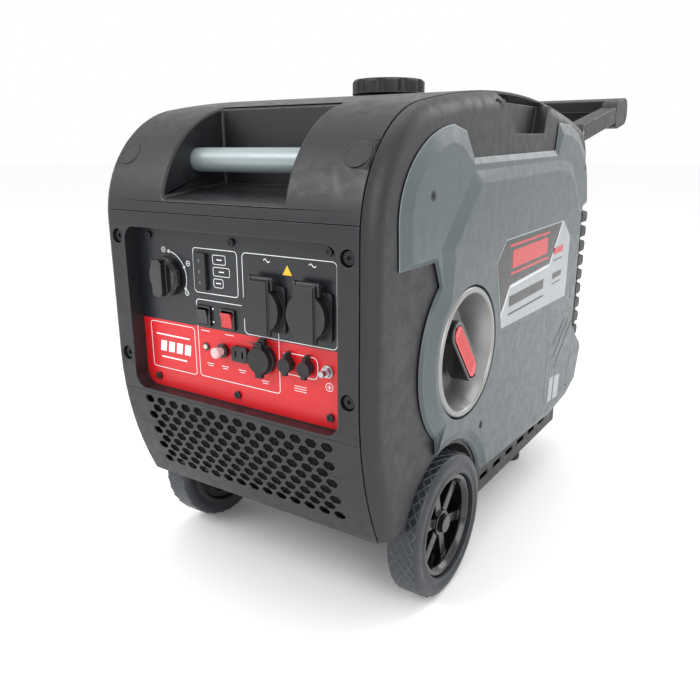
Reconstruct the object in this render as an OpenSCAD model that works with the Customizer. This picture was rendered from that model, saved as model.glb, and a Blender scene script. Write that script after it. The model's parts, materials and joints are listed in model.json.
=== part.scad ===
// Wheeled inverter generator: sealed plastic body on two front wheels and two rear feet,
// folding trolley handle, recessed control panel, recoil starter, tank, engine and inverter.
// Millimetres. +Z up, front panel faces -Y, recoil starter on +X.
// Origin: on the floor, at the middle of the whole length and width.

/* [Body] */
// Width across the two black side shells
body_w = 352; // [350:1:424]
// Front face to the rear face at mid height
body_len = 645; // [620:1:780]
// Highest point of the top cover above the floor
body_top = 556; // [550:1:566]
// Underside of the shells above the floor
body_floor = 110; // [104:1:116]
// Wall thickness of the moulded shells
wall = 3; // [2:0.1:4]
// Radius of the front shoulder
nose_r = 120; // [112:1:126]
// Radius of the gentle bow along the top
top_r = 1265; // [1100:5:1500]
// Radius of the rear shoulder
rear_r = 60; // [50:1:66]
// Lean of the rear face from upright, in degrees
rear_lean = 5; // [3:0.5:7]
// Radius of the belly curve under the vents
belly_r = 364; // [330:1:400]
// Height at which the belly curve starts
belly_z = 270; // [255:1:285]
// Rounding along the long edges of the body
edge_r = 20; // [12:1:24]
// Open joint between two neighbouring shells
seam_gap = 0.5; // [0.3:0.1:0.8]

/* [Side covers] */
// How far the cover's low face stands out of the shell
cover_low = 5; // [4:0.5:6]
// How far the cover's main face stands out of the shell
cover_high = 9; // [8:0.5:10]

/* [Carry handle] */
// Diameter of the carrying bar
bar_d = 25; // [22:0.5:30]
// Width of the hand pocket
pocket_w = 158; // [140:1:190]
// Depth of the hand pocket from the front face
pocket_depth = 98; // [88:1:110]
// Height of the pocket's front lip
pocket_lip_z = 444; // [440:1:448]

/* [Control panel] */
// Height of the panel's visible face
panel_h = 174; // [170:1:178]
// Depth of the recess in front of the panel
panel_depth = 18; // [17:0.5:20]
// Pitch of the two mains sockets
socket_pitch = 55; // [50:0.5:58]
// Inner radius of a mains socket cup
socket_r = 19.5; // [18:0.1:20]
// Diameter of the engine switch knob
knob_d = 43; // [36:0.5:52]

/* [Vents] */
// Width of one hexagonal vent
vent_w = 15; // [11:0.5:16]
// Side-to-side pitch of the vents
vent_pitch = 19; // [18.5:0.5:23]

/* [Wheels] */
// Wheel diameter over the tyre
wheel_d = 166; // [150:1:170]
// Tyre width
tyre_w = 38; // [32:1:46]
// Axle diameter
axle_d = 12; // [10:0.5:15]
// Distance of the axle behind the front face
axle_y = 154; // [148:1:160]
// Gap between the tyre and its arch
arch_gap = 9; // [6:0.5:12]

/* [Trolley handle] */
// Length from the pivot to the far end of the grip
handle_len = 280; // [250:1:300]
// Width of the handle over its arms
handle_w = 300; // [260:1:340]
// Side of an arm's square section
arm_t = 28; // [22:0.5:32]
// Angle of the raised handle above level, in degrees
handle_rise = 10; // [6:1:14]
// Diameter of a pivot pin
pin_d = 8; // [6:0.5:10]

/* [Recoil starter] */
// Outer radius of the starter dish
dish_r = 73; // [66:0.5:76]
// Depth of the starter dish
dish_depth = 34; // [31:0.5:40]
// Length of the pull grip
grip_len = 94; // [80:1:98]

/* [Fuel] */
// Diameter of the fuel cap
cap_d = 92; // [82:1:100]
// Bore of the filler neck
neck_d = 50; // [42:1:54]

/* [Clearances] */
// Radial gap of a turning fit
run_fit = 0.06; // [0.02:0.01:0.1]
// Gap between pieces that move past each other
move_gap = 0.4; // [0.3:0.05:0.8]
// Gap between two fixed pieces that sit together
seat_gap = 0.2; // [0.1:0.05:0.4]

/* [Hidden] */
$fn = 64;
half_w = body_w/2;
seam_x = half_w - 14.2;
tiny = 0.01;

// Side outline: arcs [y, z] centres and angles, counted from +Y towards +Z
rise = asin((body_len/2 - nose_r)/(top_r - nose_r));
nose_c = [nose_r, body_top - top_r + (top_r - nose_r)*cos(rise)];
top_c = [body_len/2, body_top - top_r];
rear_n = [cos(rear_lean), sin(rear_lean)];
rear_k = body_len*rear_n[0] + 300*rear_n[1];
rear_a = asin((rear_k - rear_r - rear_n*top_c)/(top_r - rear_r)) - rear_lean;
rear_c = top_c + (top_r - rear_r)*[sin(rear_a), cos(rear_a)];
tail_r = 70;
tail_end = -60;
tail_z = body_floor - tail_r*sin(tail_end);
tail_c = [(rear_k - tail_r - rear_n[1]*tail_z)/rear_n[0], tail_z];
belly_c = [belly_r, belly_z];
belly_end = 180 + asin((belly_z - body_floor)/belly_r);
// Angle on the nose at which the bezel ends and the top cover begins
split_a = 174;
// Angles at which the top cover ends and the rear cover begins
rear_split = 90 - rear_a;

// Side covers and recoil starter
cover_gap = 1;
cover_x = half_w + cover_gap;
ring_c = [189, 278];
ring_gap = 2;
rim_r = 105;

// Axle, wheels and arch
axle_z = wheel_d/2;
axle_c = [axle_y, axle_z];
arch_r = wheel_d/2 + arch_gap;
wheel_out = half_w + 11.5;
wheel_in = wheel_out - tyre_w;
arch_wall_x = wheel_in - 9;
rim_hub_r = wheel_d/2 - 24;

// Panel opening
frame_side = 37;
panel_w = body_w - 2*frame_side - 6;
open_w = panel_w + 6;
open_h = panel_h + 7;
open_z = 323.5;
open_r = 15;
panel_z = 324;
panel_top = panel_z + panel_h/2;
panel_right = panel_w/2;
panel_left = -panel_w/2;
panel_t = 2;
bezel_bolt_x = half_w - 26;
bezel_bolt_z = [402.6, 270.5];
vent_split = 229;
screw_x = [panel_left + 16, 0, panel_right - 17];
socket_x = [panel_right - 36.5 - socket_pitch, panel_right - 36.5];
socket_z = 343;
knob_x = panel_left + 42;
knob_z = 361;
strip_x = -43;
strip_z = 371;
rocker_x = [-43, -9];
rocker_z = 324;
breaker_x = -17;
low_row_z = 290;
dc_x = 7.5;
charger_x = 38;
parallel_x = [70, 93.5];
ground_x = panel_right - 20;
flange = 47;
lid_t = 3.5;
lid_pivot = [9.5, 30];
ear_low = 20;

// Top and fuel
cap_y = 320;
plug_a = 143.7;
plug_r = 13.5;
plug_x = seam_x - 16;
neck_top = body_top + 1;
bar_y = 60;
bar_z = pocket_lip_z + 38;
pocket_back_z = pocket_lip_z + 12;

// Trolley handle
pivot = [body_len + 41, 518];
grip_back = 85;
grip_low = 26;
grip_high = 22;
grip_r = 20;
handle_tip = pivot[0] + (handle_len - grip_r)*cos(handle_rise)
           + (grip_low - grip_r)*sin(handle_rise) + grip_r;
overall_len = handle_tip;

// Engine
crank_c = ring_c;

// ---- Shared helpers ----

// Puts the front-face frame into the row frame
module placed() translate([0, -overall_len/2, 0]) children();

// A drawing in (y, z) stood up, its thickness along +X
module from_side() rotate([90, 0, 90]) children();

// A drawing in (x, z) at depth y, its thickness towards the viewer (-Y)
module facing(x, y, z) translate([x, y, z]) rotate([90, 0, 0]) children();

// A cylinder along X between two x positions
module rod_x(c, r, x0, x1) translate([x0, c[0], c[1]]) rotate([0, 90, 0]) cylinder(r = r, h = x1 - x0);

// Rectangle with round corners
module rrect(w, h, r) {
    square([w - 2*r, h], center = true);
    square([w, h - 2*r], center = true);
    for (sx = [-1, 1], sy = [-1, 1])
        translate([sx*(w/2 - r), sy*(h/2 - r)])
            circle(r = r);
}

// Mirrors a right-hand piece to the left
module left_hand() mirror([1, 0, 0]) children();

function on_arc(c, r, a) = [c[0] + r*cos(a), c[1] + r*sin(a)];
function arc_pts(c, r, a0, a1, n) = [for (i = [0:n]) on_arc(c, r, a0 + (a1 - a0)*i/n)];
function line_pts(p, q, n) = [for (i = [0:n]) p + (q - p)*i/n];
function oval_pts(c, ry, rz, a0, a1, n) =
    [for (i = [0:n]) let (a = a0 + (a1 - a0)*i/n) [c[0] + ry*cos(a), c[1] + rz*sin(a)]];

// The body's side outline, pulled in by d all round
function body_outline(d) = concat(
    arc_pts(tail_c, tail_r - d, tail_end, rear_lean, 8),
    arc_pts(rear_c, rear_r - d, rear_lean, 90 - rear_a, 10),
    arc_pts(top_c, top_r - d, 90 - rear_a, 90 + rise, 16),
    arc_pts(nose_c, nose_r - d, 90 + rise, 180, 16),
    arc_pts(belly_c, belly_r - d, 180, belly_end, 8));

// Stretches of that outline which the front, top and rear pieces cover between the seams
function front_line(d) = concat(
    arc_pts(nose_c, nose_r - d, split_a + 0.15, 180, 3),
    arc_pts(belly_c, belly_r - d, 180, belly_end, 12));
function top_line(d) = concat(
    arc_pts(top_c, top_r - d, rear_split + 0.02, 90 + rise - 1, 24),
    arc_pts(nose_c, nose_r - d, 90 + rise, split_a - 0.15, 28));
function rear_line(d) = concat(
    arc_pts(tail_c, tail_r - d, tail_end, rear_lean, 14),
    arc_pts(rear_c, rear_r - d, rear_lean, rear_split - 0.02, 20));

// A wall between two such lines, across the body from seam to seam
module middle_wall(outer, inner)
    translate([-seam_x + seam_gap/2, 0, 0])
        from_side()
            linear_extrude(2*seam_x - seam_gap)
                polygon(concat(outer, [for (i = [len(inner) - 1:-1:0]) inner[i]]));

// A closed skin through a list of rings, each [x, outline], all with the same number of points
module skin(rings) {
    n = len(rings[0][1]);
    m = len(rings);
    polyhedron(
        points = [for (ring = rings) for (p = ring[1]) [ring[0], p[0], p[1]]],
        faces = [for (k = [0:m - 1], i = [0:n - 1], half = [0, 1])
            let (a = k*n + i, b = k*n + (i + 1)%n, c = ((k + 1)%m)*n + i, d = ((k + 1)%m)*n + (i + 1)%n)
                half == 0 ? [a, c, b] : [b, c, d]]);
}

// Rings of the rounded long edge, from the seam (0) to the side wall (1)
function edge_ring(t, thick) =
    let (a = 90*t, r = edge_r - thick, first = seam_x + seam_gap/2 - half_w + edge_r)
        [half_w - edge_r + max(first, r*sin(a)), body_outline(edge_r - r*cos(a))];

// ---- Shells ----

module vent_field() {
    rows = 9;
    row_pitch = 10.3;
    count = floor((2*seam_x - 44)/vent_pitch);
    for (row = [0:rows - 1], i = [0:count - 1 - row%2])
        translate([(i - (count - 1 - row%2)/2)*vent_pitch, 219 - row*row_pitch])
            vent_hex();
}

// One vent: a flat-topped hexagon wider than it is high
module vent_hex() {
    h = 9.4;
    polygon([[vent_w/2, 0], [vent_w/4, h/2], [-vent_w/4, h/2], [-vent_w/2, 0],
        [-vent_w/4, -h/2], [vent_w/4, -h/2]]);
}

module front_bezel() placed() color("#2c2d30") {
    lip = 3;
    difference() {
        union() {
            difference() {
                middle_wall(front_line(0), front_line(wall));
                facing(0, wall + 40, open_z)
                    linear_extrude(80)
                        rrect(open_w, open_h, open_r);
                translate([-body_w/2, -10, 0])
                    cube([body_w, 120, vent_split + seat_gap/2]);
            }
            facing(0, panel_depth - seat_gap, open_z)
                linear_extrude(panel_depth - seat_gap)
                    difference() {
                        rrect(open_w + 2*lip, open_h + 2*lip, open_r + lip);
                        rrect(open_w, open_h, open_r);
                    }
            for (sx = [-1, 1], z = bezel_bolt_z)
                facing(sx*bezel_bolt_x, 14, z)
                    cylinder(r = 10.5, h = 14);
        }
        for (sx = [-1, 1], z = bezel_bolt_z) {
            facing(sx*bezel_bolt_x, 9, z)
                cylinder(r = 8, h = 20);
            facing(sx*bezel_bolt_x, 30, z)
                cylinder(r = 3.2, h = 40);
        }
    }
}

module vent_grille() placed() color("#2c2d30")
    difference() {
        middle_wall(front_line(0), front_line(wall));
        translate([-body_w/2, -10, vent_split - seat_gap/2])
            cube([body_w, 120, body_top]);
        facing(0, 60, 0)
            linear_extrude(80)
                vent_field();
    }

module bezel_bolts() placed() color("#17181a")
    for (sx = [-1, 1], z = bezel_bolt_z)
        facing(sx*bezel_bolt_x, 9 - seat_gap, z)
            difference() {
                union() {
                    cylinder(r = 6.3, h = 6);
                    translate([0, 0, -14])
                        cylinder(r = 2.95, h = 14.5);
                }
                translate([0, 0, 3])
                    cylinder(r = 2.9, h = 5, $fn = 6);
            }

// Hand pocket, as the space that it leaves free
module pocket_space(grow)
    translate([-pocket_w/2 - grow, 0, 0])
        from_side()
            linear_extrude(pocket_w + 2*grow)
                polygon([[-10, pocket_lip_z - grow - 1.2], [pocket_depth + grow, pocket_back_z - grow],
                    [pocket_depth + grow, body_top + 20], [-10, body_top + 20]]);

module top_cover() placed() color("#2c2d30")
    difference() {
        union() {
            middle_wall(top_line(0), top_line(wall));
            intersection() {
                difference() {
                    pocket_space(wall);
                    pocket_space(0);
                }
                translate([-half_w, 0, 0])
                    from_side()
                        linear_extrude(body_w)
                            polygon(body_outline(0.4));
            }
            for (s = [-1, 1])
                rod_x([bar_y, bar_z], bar_d/2 + 4, s > 0 ? pocket_w/2 : -pocket_w/2 - 14,
                    s > 0 ? pocket_w/2 + 14 : -pocket_w/2);
            for (sx = [-1, 1])
                at_plug(sx)
                    translate([0, 0, -8])
                        cylinder(r = plug_r + 3, h = 7);
        }
        pocket_space(0);
        rod_x([bar_y, bar_z], bar_d/2 + seat_gap, -pocket_w/2 - 20, pocket_w/2 + 20);
        for (sx = [-1, 1])
            at_plug(sx)
                translate([0, 0, -5])
                    cylinder(r = plug_r + seat_gap, h = 20);
        translate([0, cap_y, body_top - 30])
            cylinder(r = neck_d/2 + 6, h = 60);
    }

// Frame on the shoulder surface, +Z outwards
module at_plug(sx)
    translate([sx*plug_x, on_arc(nose_c, nose_r, plug_a)[0], on_arc(nose_c, nose_r, plug_a)[1]])
        rotate([plug_a - 90, 0, 0])
            children();

module shoulder_plugs() placed() color("#26272a")
    for (sx = [-1, 1])
        at_plug(sx)
            translate([0, 0, -4.8])
                difference() {
                    cylinder(r = plug_r, h = 5.4);
                    translate([0, 0, 4.8])
                        cylinder(r = plug_r - 2, h = 2);
                }

module carry_handle_bar() placed() color("#c3c8c9")
    difference() {
        rod_x([bar_y, bar_z], bar_d/2, -pocket_w/2 - 13, pocket_w/2 + 13);
        rod_x([bar_y, bar_z], bar_d/2 - 2.5, -pocket_w/2 - 14, pocket_w/2 + 14);
    }

// Side shell: rounded edge band, side wall, wheel arch
module side_shell() {
    difference() {
        union() {
            skin(concat([for (t = [0.2:0.2:1]) edge_ring(t, 0)],
                [[half_w, body_outline(edge_r + 6)], [half_w - wall, body_outline(edge_r + 6)]],
                [for (t = [1:-0.2:0.2]) edge_ring(t, wall)]));
            translate([half_w - wall, 0, 0])
                from_side()
                    linear_extrude(wall)
                        polygon(body_outline(edge_r + 5));
            arch_walls(wall);
        }
        arch_space();
        rod_x(ring_c, dish_r + ring_gap, half_w - 20, half_w + 20);
        side_pocket_space(0);
    }
    difference() {
        side_pocket_space(wall);
        side_pocket_space(0);
        translate([half_w + tiny, 0, 0])
            cube([50, 2*body_len, body_top + 50]);
    }
}

module arch_space() {
    rod_x(axle_c, arch_r, arch_wall_x, wheel_out + 20);
    translate([arch_wall_x, axle_y - arch_r, -10])
        cube([wheel_out + 20 - arch_wall_x, 2*arch_r, axle_z + 10]);
}

module arch_walls(t)
    intersection() {
        rod_x(axle_c, arch_r + t, arch_wall_x - t, half_w);
        translate([0, 0, body_floor])
            cube([half_w, body_len, body_top]);
    }

// Finger pocket at the top edge of the side
module side_pocket_space(grow)
    translate([half_w - 16 - grow, 0, 0])
        from_side()
            linear_extrude(16 + grow + (grow > 0 ? 0 : 20))
                polygon([[258 - grow, pocket_top(grow)], [279 - grow, 538 - grow], [318 - grow, 510 - grow],
                    [412 + grow, 512 - grow], [430 + grow, pocket_top(grow)]]);

function pocket_top(grow) = grow > 0 ? body_top - 11 : body_top + 20;

module side_shell_right() placed() color("#2c2d30") side_shell();
module side_shell_left() placed() color("#2c2d30") left_hand() side_shell();

// ---- Side covers ----
// Each outline is listed once at its foot (out) and once at its face (in), point for point

function cover_rear() = body_len + 10;
function low_out() = concat(
    [[42, 386]], oval_pts([157, 430], 117, 87, 180, 96, 9),
    [[174, 511], [196, 485], [459, 492], [466, 527], [513, 526], [560, 515], [600, 490],
     [624, 456], [637, 412], [cover_rear() - 51, 406], [cover_rear() - 51, 214]],
    tail_points(0), arch_points(4), arc_pts(ring_c, rim_r, 232, 128, 9), [[112, 386]]);
function low_in() = concat(
    [[60, 392]], oval_pts([157, 430], 98, 70, 176, 100, 9),
    [[158, 496], [190, 478], [462, 484], [478, 512], [511, 511], [552, 501], [588, 480],
     [609, 452], [622, 418], [cover_rear() - 54, 412], [cover_rear() - 54, 218]],
    tail_points(3), arch_points(7), arc_pts(ring_c, rim_r - 3, 232, 128, 9), [[112, 392]]);
function high_out() = concat(
    [[118, 398]], line_pts([120, 400], [186, 468], 9),
    [[189, 471], [195, 472], [464, 479], [486, 478], [502, 477], [518, 475], [532, 470],
     [558, 444], [582, 416], [cover_rear() - 58, 400], [cover_rear() - 58, 223]],
    tail_points(5), arch_points(9), arc_pts(ring_c, rim_r - 5, 232, 128, 9), [[122, 389]]);
function high_in() = concat(
    [[140, 394]], line_pts([141, 396], [202, 455], 9),
    [[205, 457], [210, 458], [467, 465], [484, 464], [499, 463], [512, 461], [523, 456],
     [546, 432], [570, 405], [cover_rear() - 70, 391], [cover_rear() - 70, 228]],
    tail_points(14), arch_points(18), arc_pts(ring_c, dish_r + 9, 232, 128, 9), [[144, 386]]);
function tail_points(d) = [[cover_rear() + 4 - d, 182 - d/4], [cover_rear() - 14 - d, 122 + d/2],
    [cover_rear() - 54 - d/2, 104 + d], [515, 96 + d]];
function arch_points(d) = arc_pts(axle_c, arch_r + d, 18, 106, 8);

// Unit vector, and an outline moved inwards by d, point for point
function unit(v) = v/norm(v);
function inset(p, d) = [for (i = [0:len(p) - 1])
    let (u = unit(p[i] - p[(i + len(p) - 1)%len(p)]), v = unit(p[(i + 1)%len(p)] - p[i]))
        p[i] + d*[u[1] + v[1], -u[0] - v[0]]/(1 + u*v)];

cover_screw_at = [[98, 451], [598, 466], [233, 178]];

module side_cover() {
    difference() {
        union() {
            skin([[cover_x, inset(high_in(), 3)], [half_w + cover_high, inset(high_in(), 3)],
                [half_w + cover_high, high_in()], [half_w + cover_low, high_out()],
                [half_w + cover_low, low_in()], [cover_x, low_out()]]);
            translate([cover_x, 0, 0])
                from_side()
                    linear_extrude(cover_high - cover_gap)
                        polygon(inset(high_in(), 1.5));
        }
        for (p = cover_screw_at) {
            rod_x(p, 5.2, half_w + 3, half_w + 20);
            rod_x(p, 2.6, half_w - 1, half_w + 20);
        }
        children();
    }
}

module side_cover_right() placed() color("#636b6e")
    side_cover()
        rod_x(ring_c, dish_r + ring_gap, half_w - 5, half_w + 20);

module side_cover_left() placed() color("#636b6e")
    left_hand()
        side_cover()
            rod_x(ring_c, dish_r + ring_gap, half_w + cover_high - 1.5, half_w + 20);

module cover_screws() placed() color("#202225")
    for (side = [0, 1], p = cover_screw_at)
        mirror([side, 0, 0])
            difference() {
                union() {
                    rod_x(p, 4.6, half_w + 3 + seat_gap, half_w + 4.8);
                    rod_x(p, 2.3, half_w + cover_gap/2, half_w + 4);
                }
                translate([half_w + 3.6, p[0], p[1]])
                    rotate([0, 90, 0])
                        cylinder(r = 2, h = 4, $fn = 6);
            }

// ---- Rear and base ----

louvre_w = 190;
louvre_low = 190;
louvre_high = 410;
outlet_c = [-70, 235];

module rear_cover() placed() color("#2c2d30") {
    difference() {
        middle_wall(rear_line(0), rear_line(wall));
        translate([-louvre_w/2, body_len - 60, louvre_low])
            cube([louvre_w, 120, louvre_high - louvre_low]);
    }
    // Slats across the outlet, leaning out and down
    slats = 11;
    step = (louvre_high - louvre_low)/slats;
    translate([-louvre_w/2 - 1, 0, 0])
        from_side()
            linear_extrude(louvre_w + 2)
                for (i = [0:slats - 1])
                    let (z = louvre_low + (i + 0.5)*step, y = (rear_k - z*rear_n[1])/rear_n[0] - wall)
                        polygon([[y - 12, z + 9], [y - 12, z + 6], [y + wall, z - 6], [y + wall, z - 2]]);
    for (x = [-louvre_w/2 - 1, 0, louvre_w/2 - 2])
        translate([x - 1, 0, 0])
            from_side()
                linear_extrude(wall + 1)
                    polygon([
                        [(rear_k - louvre_low*rear_n[1])/rear_n[0] - 15, louvre_low - 2],
                        [(rear_k - louvre_low*rear_n[1])/rear_n[0] - 1, louvre_low - 2],
                        [(rear_k - louvre_high*rear_n[1])/rear_n[0] - 1, louvre_high + 2],
                        [(rear_k - louvre_high*rear_n[1])/rear_n[0] - 15, louvre_high + 2]]);
}

tray_y = axle_y + wheel_d/2 + arch_gap + 16;
tray_z = 58;
foot_y = body_len - 105;
foot_x = 110;
foot_r = 20;

module base_pan() placed() color("#1d1e20") {
    deck = 5;
    top = body_floor - 0.8;
    tray_w = 2*half_w - 24;
    tray_len = body_len - 45 - tray_y;
    difference() {
        union() {
            translate([-arch_wall_x + wall + 1, 52, top - deck])
                cube([2*(arch_wall_x - wall - 1), body_len - 110, deck]);
            translate([-tray_w/2, tray_y, tray_z])
                cube([tray_w, tray_len, top - tray_z]);
            for (sx = [-1, 1])
                translate([sx*(arch_wall_x - 20) - 5, 0, 0])
                    from_side()
                        linear_extrude(10)
                            polygon(concat(
                                [[axle_y + 40, top - 1], [axle_y - 34, top - 1]],
                                arc_pts(axle_c, 16, 200, 340, 8)));
        }
        translate([-tray_w/2 + wall, tray_y + wall, tray_z + wall])
            cube([tray_w - 2*wall, tray_len - 2*wall, top - deck - tray_z - wall]);
        rod_x(axle_c, axle_d/2 + seat_gap, -half_w, half_w);
        for (i = [0:5], sx = [-1, 1])
            translate([sx*tray_w/2 - 10, tray_y + 30 + i*46, tray_z + 16])
                cube([20, 26, 7]);
    }
}

module rear_feet() placed() color("#1b1b1c")
    for (sx = [-1, 1])
        translate([sx*foot_x, foot_y, 0])
            difference() {
                union() {
                    cylinder(r = foot_r, h = 14);
                    translate([0, 0, 14])
                        cylinder(r1 = foot_r, r2 = foot_r - 4, h = tray_z - 14);
                }
                translate([0, 0, -1])
                    cylinder(r = 6, h = 9);
            }

// ---- Wheels ----

tyre_seat = rim_hub_r;

module tyre() color("#1f2022")
    translate([wheel_in, axle_y, axle_z])
        rotate([0, 90, 0])
            rotate_extrude($fn = 128)
                difference() {
                    translate([(tyre_seat + axle_z)/2, tyre_w/2])
                        rrect(axle_z - tyre_seat, tyre_w, 7);
                    translate([tyre_seat - 6, -1])
                        square([6.01, tyre_w + 2]);
                    for (s = [-1, 1])
                        translate([tyre_seat + 8, tyre_w/2 + s*(tyre_w/2 + 1.2)])
                            circle(r = 2.4);
                }

module wheel_hub() color("#101113") {
    hub_in = wheel_in + 3;
    spokes = 6;
    boss_out = wheel_out - 10;
    difference() {
        union() {
            translate([hub_in, axle_y, axle_z])
                rotate([0, 90, 0])
                    rotate_extrude($fn = 128)
                        polygon([[tyre_seat - 9, 0], [tyre_seat - seat_gap, 0],
                            [tyre_seat - seat_gap, tyre_w - 6], [tyre_seat - 5, tyre_w - 6],
                            [tyre_seat - 9, tyre_w - 12]]);
            rod_x(axle_c, 15, hub_in, boss_out);
            for (i = [0:spokes - 1])
                translate([wheel_out - 22, axle_y, axle_z])
                    rotate([i*360/spokes + 15, 0, 0])
                        translate([0, -6, 10])
                            cube([9, 12, tyre_seat - 15]);
            translate([hub_in + 6, axle_y, axle_z])
                rotate([0, 90, 0])
                    cylinder(r = tyre_seat - 5, h = 3);
        }
        rod_x(axle_c, axle_d/2 + run_fit, wheel_in - 10, wheel_out + 10);
        rod_x(axle_c, 11, boss_out - 3, wheel_out + 10);
    }
}

module tyre_right() placed() tyre();
module wheel_hub_right() placed() wheel_hub();
module tyre_left() placed() left_hand() tyre();
module wheel_hub_left() placed() left_hand() wheel_hub();

module wheel_axle() placed() color("#8d9194")
    rod_x(axle_c, axle_d/2, -wheel_out + 9, wheel_out - 9);

module axle_caps() placed() color("#121314")
    for (side = [0, 1])
        mirror([side, 0, 0])
            difference() {
                rod_x(axle_c, 10, wheel_out - 13 + move_gap, wheel_out - 5);
                rod_x(axle_c, axle_d/2 + 0.02, wheel_out - 20, wheel_out - 8.9);
            }

// ---- Trolley handle ----

// Frame at the pivot, +Y along the raised arms
module at_pivot() translate([0, pivot[0], pivot[1]]) rotate([handle_rise, 0, 0]) children();

arm_in = handle_w/2 - arm_t;

module trolley_arms() placed() color("#232427")
    for (side = [0, 1])
        mirror([side, 0, 0])
            at_pivot()
                difference() {
                    union() {
                        translate([arm_in, 0, -arm_t/2])
                            cube([arm_t, handle_len - grip_back - seat_gap, arm_t]);
                        rod_x([0, 0], arm_t/2, arm_in, handle_w/2);
                    }
                    rod_x([0, 0], pin_d/2 + run_fit, arm_in - 5, handle_w/2 + 5);
                }

module trolley_grip() placed() color("#1c1d1f")
    at_pivot()
        difference() {
            translate([-handle_w/2, 0, 0])
                from_side()
                    linear_extrude(handle_w)
                        translate([handle_len - grip_back/2, (grip_high - grip_low)/2])
                            rrect(grip_back, grip_high + grip_low, grip_r);
            // Finger recess from below, open between the arms
            translate([-arm_in, handle_len - grip_back - 10, -grip_low - 10])
                cube([2*arm_in, grip_back - 22, grip_low + 12]);
            translate([-arm_in, handle_len - grip_back - 10, 0])
                cube([2*arm_in, 42, grip_high + 10]);
        }

lug_t = 13;

module handle_brackets() placed() color("#26272a")
    for (side = [0, 1])
        mirror([side, 0, 0])
            translate([arm_in - move_gap - lug_t, 0, 0])
                difference() {
                    from_side()
                        linear_extrude(lug_t)
                            difference() {
                                union() {
                                    polygon([[rear_c[0] + 20, pivot[1] - 48], [rear_c[0] + 20, pivot[1] + 12],
                                        pivot + [0, 13], pivot + [0, -13], [body_len - 8, pivot[1] - 48]]);
                                    translate(pivot)
                                        circle(r = 13);
                                }
                                polygon(body_outline(-0.3));
                            }
                    rod_x(pivot, pin_d/2 + 0.02, -5, lug_t + 5);
                }

module pivot_pins() placed() color("#9a9da0")
    for (side = [0, 1])
        mirror([side, 0, 0])
            rod_x(pivot, pin_d/2, arm_in - move_gap - lug_t + 1, handle_w/2 - 1);

// ---- Control panel ----

module control_panel() placed() color("#1b1d20")
    difference() {
        facing(0, panel_depth + panel_t, panel_z)
            linear_extrude(panel_t)
                rrect(panel_w + 22, panel_h + 22, 10);
        for (x = screw_x, sz = [-1, 1])
            facing(x, panel_depth + 10, panel_z + sz*(panel_h/2 - 7))
                cylinder(r = 1.9, h = 20);
        for (x = socket_x)
            facing(x, panel_depth + 10, socket_z)
                cylinder(r = socket_r + 2.5, h = 20);
        facing(knob_x, panel_depth + 10, knob_z)
            cylinder(r = 5, h = 20);
        for (x = rocker_x)
            facing(x, panel_depth + 10, rocker_z)
                linear_extrude(20)
                    square([17.4, 19.4], center = true);
        facing(breaker_x, panel_depth + 10, low_row_z)
            cylinder(r = 5.4, h = 20);
        facing(charger_x, panel_depth + 10, low_row_z)
            cylinder(r = 12.2, h = 20);
        for (x = parallel_x)
            facing(x, panel_depth + 10, low_row_z)
                cylinder(r = 5.2, h = 20);
        facing(ground_x, panel_depth + 10, low_row_z)
            cylinder(r = 3.2, h = 20);
    }

module panel_screws() placed() color("#141517")
    for (x = screw_x, sz = [-1, 1])
        facing(x, panel_depth - seat_gap, panel_z + sz*(panel_h/2 - 7))
            difference() {
                union() {
                    cylinder(r = 4, h = 2.6);
                    translate([0, 0, -9])
                        cylinder(r = 1.6, h = 9.1);
                }
                translate([0, 0, 1.2])
                    cylinder(r = 1.7, h = 3, $fn = 6);
            }

module engine_switch_knob() placed() color("#0e0f10")
    facing(knob_x, panel_depth - move_gap, knob_z) {
        cylinder(r = knob_d/2, h = 8);
        cylinder(r = knob_d/2 - 2.5, h = 10);
        intersection() {
            translate([0, 0, 9])
                linear_extrude(panel_depth - move_gap - 9.5)
                    rrect(15, knob_d - 2, 6);
            cylinder(r = knob_d/2 - 1.5, h = 30);
        }
        translate([0, 0, -16])
            cylinder(r = 4, h = 17);
    }

module engine_switch_body() placed() color("#3a3c40")
    facing(knob_x, panel_depth + panel_t + 24, knob_z)
        difference() {
            union() {
                translate([-21, -21, 0])
                    cube([42, 42, 18]);
                cylinder(r = 12, h = 24 - seat_gap);
            }
            translate([0, 0, 4])
                cylinder(r = 4 + run_fit, h = 30);
        }

module indicator_strip() placed() color("#191a1c")
    facing(strip_x, panel_depth - seat_gap, strip_z)
        difference() {
            linear_extrude(4)
                rrect(16, 38.6, 1.5);
            for (i = [-1:1])
                translate([-0.5, i*11.4, 1.5])
                    cylinder(r = 2 + seat_gap, h = 5);
        }

module indicator_lenses() placed() color("#5d6468")
    facing(strip_x, panel_depth - seat_gap, strip_z)
        for (i = [-1:1])
            translate([-0.5, i*11.4, 1.5 + tiny]) {
                cylinder(r = 2, h = 2.4);
                intersection() {
                    translate([0, 0, 1.4])
                        sphere(r = 2);
                    translate([-3, -3, 2])
                        cube([6, 6, 3]);
                }
            }

module rocker_housings() placed() color("#131416")
    for (x = rocker_x)
        facing(x, panel_depth - seat_gap, rocker_z)
            difference() {
                union() {
                    linear_extrude(2.6)
                        rrect(20, 22, 2);
                    translate([-8.5, -9.5, -16])
                        cube([17, 19, 17]);
                }
                translate([-7.4, -9 + tiny, -13])
                    cube([14.8, 18 - 2*tiny, 20]);
            }

rocker_tilt = 9;

// Rocker about its own pivot, shown pressed at the bottom
module rocker(x, tone) color(tone)
    translate([x - 7, panel_depth - 1.5, rocker_z])
        rotate([rocker_tilt, 0, 0])
            from_side()
                linear_extrude(14)
                    intersection() {
                        circle(r = 8.6);
                        polygon([[6, -2.5], [6, 2.5], [-3.4, 9], [-2.2, 0], [-3.4, -9]]);
                    }

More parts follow.
